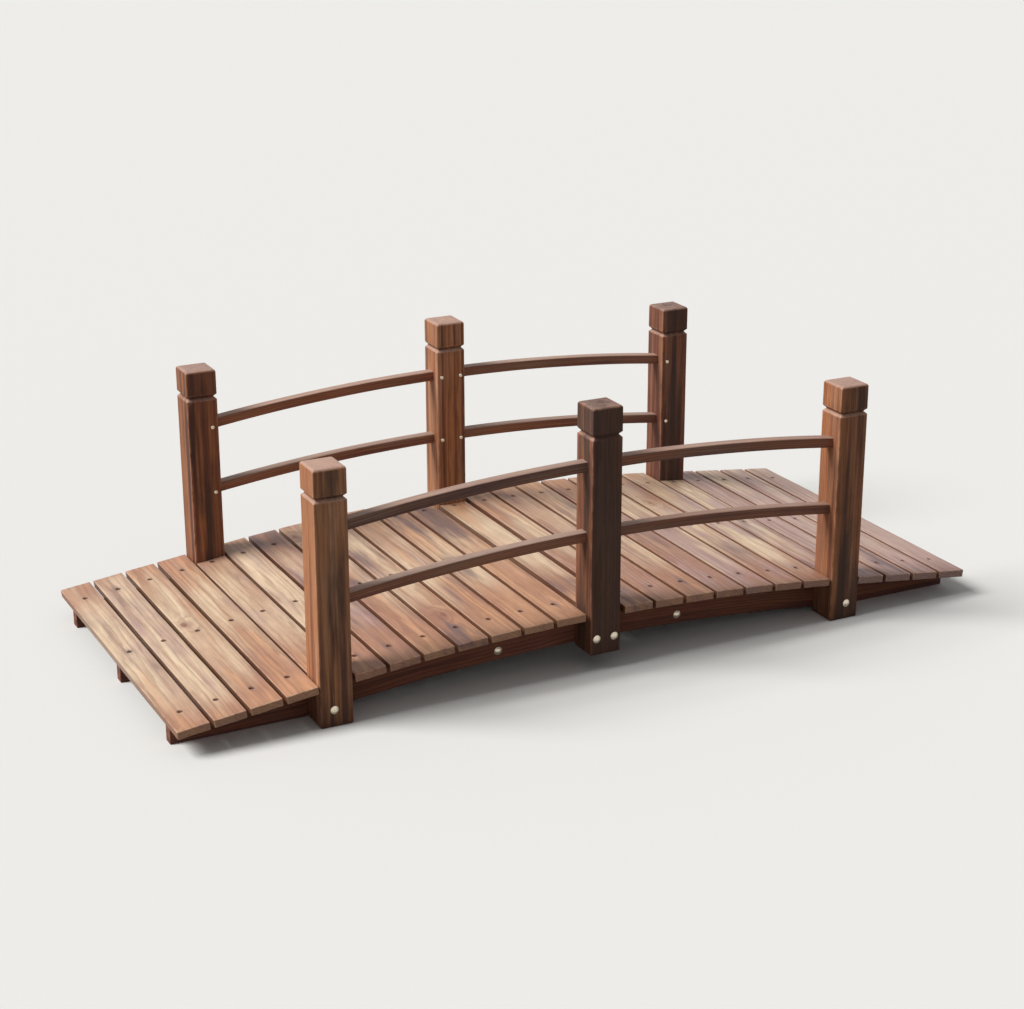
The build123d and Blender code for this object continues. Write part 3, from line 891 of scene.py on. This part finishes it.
class FOOTBRIDGE_OT_posts(bpy.types.Operator):
    """Build the six posts with their grooves and caps"""
    bl_idname = "footbridge.posts"
    bl_label = "Posts"

    def execute(self, context):
        look = context.scene.footbridge_post
        material = wood("post_wood", look, (-0.012, -0.055), knots=0.0, lines=0.26, bands=0.62,
                        edges=0.12, weather=0.78)
        # For each post: tone (pale, scorched, warm), painted shade on the near face, then scorch on
        # the other faces and on the cap's top.
        tones = {
            "near_left_post": ((0.72, 0.00, 0.75), 0.30, 0.00, 0.05),
            "near_middle_post": ((0.05, 0.30, 0.35), 1.10, 0.58, 0.55),
            "near_right_post": ((0.20, 0.05, 0.45), 0.22, 0.05, 0.10),
            "far_left_post": ((-0.50, -0.10, 0.35), 0.38, 0.62, 0.10),
            "far_middle_post": ((0.50, -0.05, 0.50), 0.05, 0.00, 0.25),
            "far_right_post": ((-0.05, 0.22, 0.05), 0.40, 0.03, 0.55)}
        for seed, node in enumerate(POSTS, 210):
            post(node, look, material, *tones[node], seed)
        return {"FINISHED"}


class FOOTBRIDGE_OT_rails(bpy.types.Operator):
    """Build the eight curved rails"""
    bl_idname = "footbridge.rails"
    bl_label = "Rails"

    def execute(self, context):
        look = context.scene.footbridge_rail
        material = wood("rail_wood", look, (0.002, -0.03), knots=0.12, lines=0.30, bands=0.60,
                        edges=0.36, weather=0.80)
        tones = {"near_left_upper_rail": (0.25, 0.22, -0.20),
                 "near_left_lower_rail": (0.90, -0.12, 0.80),
                 "near_right_upper_rail": (0.20, 0.20, 0.65),
                 "near_right_lower_rail": (0.22, 0.22, 0.65)}
        for seed, node in enumerate(RAILS, 300):
            tone = tones.get(node, (0.38, 0.06, 0.60))
            bent_bar(node.replace("_rail", "_handrail"), node, look, material, "rail_wood", tone,
                     seed, *rail_curves(node), spacing=0.010)
        return {"FINISHED"}


class FOOTBRIDGE_OT_beams(bpy.types.Operator):
    """Build the beam halves and finish the splice plates"""
    bl_idname = "footbridge.beams"
    bl_label = "Beams and Plates"

    def execute(self, context):
        look = context.scene.footbridge_beam
        material = wood("beam_wood", look, (0.003, -0.05), knots=0.2, lines=0.30, bands=0.55,
                        edges=0.30, weather=0.5)
        for index, node in enumerate(BEAMS):
            rng = np.random.default_rng(80 + index)
            tone = (rng.uniform(0.1, 0.45), rng.uniform(0.1, 0.45), rng.uniform(0.2, 0.6))
            bent_bar(node.replace("_beam", "_bearer"), node, look, material, "beam_wood", tone,
                     320 + index, *beam_curves())
        splice_plates(look, material)
        return {"FINISHED"}


class FOOTBRIDGE_OT_deck_screws(bpy.types.Operator):
    """Build the flat deck screws in their holes"""
    bl_idname = "footbridge.deck_screws"
    bl_label = "Deck Screws"

    def execute(self, context):
        look, deck = context.scene.footbridge_fixing, context.scene.footbridge_deck
        r = look.deck_screw
        profile = [(r * s, 0.0001, 0) for s in (0.12, 0.3, 0.5, 0.7, 0.93)]
        profile += [(r, -0.0002, 0), (r * 0.5, -0.0020, 0), (r * 0.35, -0.0030, 0),
                    (r * 0.3, -0.0075, 0)]
        shape = cross_cut(turned(profile, 24), r * 0.62, r * 0.2, 0.0011, 0.0)
        level = BOARD_THICKNESS / 2 - deck.sink_depth + 0.0004
        places = []
        for index, node in enumerate(BOARDS):
            middle, slope, _, _ = board_place(node)
            board = Matrix.Translation(middle) @ Matrix.Rotation(slope, 4, "Y")
            across, spots = screw_spots(index, deck)
            for turn, along in enumerate(spots):
                inside = Matrix.Translation((across, along, level))
                places.append(board @ inside @ Matrix.Rotation(1.7 * (index + 2 * turn), 4, "Z"))
        fixings("deck_screws", shape, places, plated_metal("dull_steel", look.dull, 0.8, 0.62))
        return {"FINISHED"}


class FOOTBRIDGE_OT_rail_screws(bpy.types.Operator):
    """Build the round-headed screws that hold the rails in the posts"""
    bl_idname = "footbridge.rail_screws"
    bl_label = "Rail Screws"

    def execute(self, context):
        look = context.scene.footbridge_fixing
        r = look.rail_screw
        angles = np.radians([6, 18, 32, 48, 64, 80, 90])
        profile = [(r * math.sin(a), 0.0022 * math.cos(a), 0) for a in angles]
        profile += [(r * 0.96, -0.0002, 0), (r * 0.4, -0.0004, 0), (r * 0.35, -0.008, 0)]
        shape = cross_cut(turned(profile, 24), r * 0.55, r * 0.2, 0.0011, 0.0012)
        places = []
        for node in RAILS:
            low, high = corners(node)
            side, hand = np.sign(low + high)[[1, 0]]
            post_low, post_high = corners(node.split("_")[0] + "_middle_post")
            inner_face = post_high[1] if side < 0 else post_low[1]
            top, bottom = rail_curves(node)
            inner_x, outer_x = sorted((abs(low[0]), abs(high[0])))
            for x in (hand * (inner_x + 0.011), hand * (outer_x - 0.0085)):
                places.append(facing(x, inner_face, 0.5 * (top(x) + bottom(x)), -side))
        metal = plated_metal("plated_screws", look.plated, 0.85, 0.34)
        fixings("rail_screws", shape, places, metal)
        return {"FINISHED"}


class FOOTBRIDGE_OT_bolts(bpy.types.Operator):
    """Build the bolts with domed heads and nuts"""
    bl_idname = "footbridge.bolts"
    bl_label = "Bolts"

    def execute(self, context):
        look = context.scene.footbridge_fixing
        metal = plated_metal("plated_bolts", look.plated, 0.85, 0.34)
        r = look.bolt_radius
        low, high = corners("post_bolts")
        outer_face, end_x, end_z = high[1] - look.bolt_rise, high[0] - r, low[2] + r
        middle_z = high[2] - r
        low, high = corners("splice_bolts")
        plate_x, plate_z = high[0] - r, low[2] + r
        beam_face = outer_face - POST_SIZE - SEAT
        centre_face = -BEAM_THICKNESS / 2 - SEAT

        def quarters(x, y, z):
            """A place at the left and the right of both sides."""
            return [facing(s * x, t * y, z, t) for s in (-1, 1) for t in (-1, 1)]

        centre = [facing(s * x, centre_face, z, -1)
                  for x, z in ((plate_x, plate_z), (MIDDLE_BOLT, middle_z)) for s in (-1, 1)]
        fixings("end_bolts", bolt_shape(look, POST_SIZE, BEAM_THICKNESS),
                quarters(end_x, outer_face, end_z), metal, "post_bolts")
        fixings("middle_bolts", bolt_shape(look, POST_SIZE, BEAM_THICKNESS, PLATE_THICKNESS),
                quarters(MIDDLE_BOLT, outer_face, middle_z), metal, "post_bolts")
        fixings("splice_bolt_set", bolt_shape(look, BEAM_THICKNESS, PLATE_THICKNESS),
                quarters(plate_x, beam_face, plate_z) + centre, metal, "splice_bolts")
        return {"FINISHED"}


class FOOTBRIDGE_OT_stage(bpy.types.Operator):
    """Set up the floor, the light and the view"""
    bl_idname = "footbridge.stage"
    bl_label = "Stage"

    def execute(self, context):
        look, scene = context.scene.footbridge_stage, context.scene
        mesh = bpy.data.meshes.new("floor")
        square = [(x * FLOOR_REACH, y * FLOOR_REACH, FLOOR_LEVEL)
                  for x, y in ((-1, -1), (1, -1), (1, 1), (-1, 1))]
        mesh.from_pydata(square, [], [(0, 1, 2, 3)])
        floor = bpy.data.objects.new("floor", mesh)
        scene.collection.objects.link(floor)
        material = bpy.data.materials.new("pale_floor")
        tree = Tree(material)
        tint = tree.blend(self.seen(tree), look.bounce, look.floor)
        tree.surface({"Base Color": tint, "Roughness": 0.85, "Specular IOR Level": 0.1})
        mesh.materials.append(material)

        world = bpy.data.worlds.new("studio")
        scene.world = world
        tree = Tree(world)
        level = look.sky + (BACKDROP - look.sky) * self.seen(tree)
        sky = tree.add("ShaderNodeBackground", None, {
            "Color": (1.0, 1.0, 1.0, 1.0), "Strength": level})
        tree.add("ShaderNodeOutputWorld", None, {"Surface": sky})

        lamp = bpy.data.lights.new("key", "SUN")
        lamp.energy = look.key
        lamp.angle = KEY_SPREAD
        lamp.color = KEY_COLOUR
        key = bpy.data.objects.new("key", lamp)
        key.matrix_world = placed(KEY_PLACE, -math.pi / 2 - look.key_turn,
                                  math.pi / 2 - look.key_height)
        scene.collection.objects.link(key)

        camera = bpy.data.cameras.new("view")
        camera.sensor_fit = "HORIZONTAL"
        camera.sensor_width = SENSOR_WIDTH
        camera.lens = VIEW_FOCAL * SENSOR_WIDTH / PICTURE_WIDTH
        camera.clip_end = 200.0
        eye = bpy.data.objects.new("view", camera)
        eye.matrix_world = placed(VIEW_PLACE, *VIEW_TURN)
        scene.collection.objects.link(eye)
        scene.camera = eye
        scene.view_settings.view_transform = "Standard"
        return {"FINISHED"}

    def seen(self, tree):
        """1 for rays that come from the camera, a mirror or glass."""
        view, mirror, glass = tree.add("ShaderNodeLightPath", output=(
            "Is Camera Ray", "Is Glossy Ray", "Is Transmission Ray"))
        return view.larger(mirror).larger(glass)


def placed(place, heading, tip, roll=0.0):
    """Where a lamp or a camera is: it points down until it is rolled, tipped and turned."""
    return (Matrix.Translation(place) @ Matrix.Rotation(heading, 4, "Z")
            @ Matrix.Rotation(tip, 4, "X") @ Matrix.Rotation(roll, 4, "Z"))


class FOOTBRIDGE_PT_panel(bpy.types.Panel):
    """Buttons for the pieces of the footbridge"""
    bl_idname = "FOOTBRIDGE_PT_panel"
    bl_label = "Footbridge"
    bl_space_type = "VIEW_3D"
    bl_region_type = "UI"
    bl_category = "Footbridge"

    def draw(self, context):
        for operator in OPERATORS:
            self.layout.operator(operator.bl_idname)
        for name, look in LOOKS.items():
            box = self.layout.box()
            box.label(text=look.__doc__)
            for key in look.__annotations__:
                box.prop(getattr(context.scene, name), key)


OPERATORS = (FOOTBRIDGE_OT_boards, FOOTBRIDGE_OT_posts, FOOTBRIDGE_OT_rails,
             FOOTBRIDGE_OT_beams, FOOTBRIDGE_OT_deck_screws, FOOTBRIDGE_OT_rail_screws,
             FOOTBRIDGE_OT_bolts, FOOTBRIDGE_OT_stage)
LOOKS = {"footbridge_deck": DeckLook, "footbridge_post": PostLook, "footbridge_rail": RailLook,
         "footbridge_beam": BeamLook, "footbridge_fixing": FixingLook, "footbridge_stage": StageLook}


def register():
    """Adds the settings, operators and panel."""
    for look in LOOKS.values():
        bpy.utils.register_class(look)
    for name, look in LOOKS.items():
        setattr(bpy.types.Scene, name, bpy.props.PointerProperty(type=look))
    for part in OPERATORS + (FOOTBRIDGE_PT_panel,):
        bpy.utils.register_class(part)


def unregister():
    """Takes the settings, operators and panel away again."""
    for part in (FOOTBRIDGE_PT_panel,) + OPERATORS[::-1]:
        bpy.utils.unregister_class(part)
    for name in LOOKS:
        delattr(bpy.types.Scene, name)
    for look in reversed(LOOKS.values()):
        bpy.utils.unregister_class(look)


def main():
    """Builds every piece and the stage."""
    register()
    bpy.ops.footbridge.boards()
    bpy.ops.footbridge.posts()
    bpy.ops.footbridge.rails()
    bpy.ops.footbridge.beams()
    bpy.ops.footbridge.deck_screws()
    bpy.ops.footbridge.rail_screws()
    bpy.ops.footbridge.bolts()
    bpy.ops.footbridge.stage()


if __name__ == "__main__":
    main()
